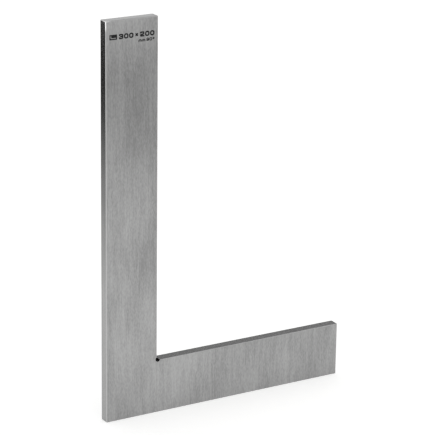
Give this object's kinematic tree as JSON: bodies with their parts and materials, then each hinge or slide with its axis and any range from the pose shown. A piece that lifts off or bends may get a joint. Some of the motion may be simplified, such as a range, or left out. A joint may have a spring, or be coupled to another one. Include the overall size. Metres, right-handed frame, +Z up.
{
  "type": "flat engineers square",
  "caption": "Flat engineer's square: a one-piece ground steel L with broken edges, a relief hole at the inside corner and an etched, black-filled size mark.",
  "frame": {"origin": "middle of the beam's outer edge, on the surface the square stands on", "axes": "+Z up the blade, +X along the beam away from the heel, marked face towards -Y"},
  "size_m": [0.2, 0.008, 0.3],
  "materials": {
    "ground_steel": "surface ground, grain along the blade",
    "etch_fill": "matt black fill"
  },
  "bodies": {
    "root": {"square_body": "ground_steel", "right_angle_symbol": "etch_fill", "size_numerals": "etch_fill", "unit_letters": "etch_fill", "angle_numerals": "etch_fill"}
  },
  "joints": []
}
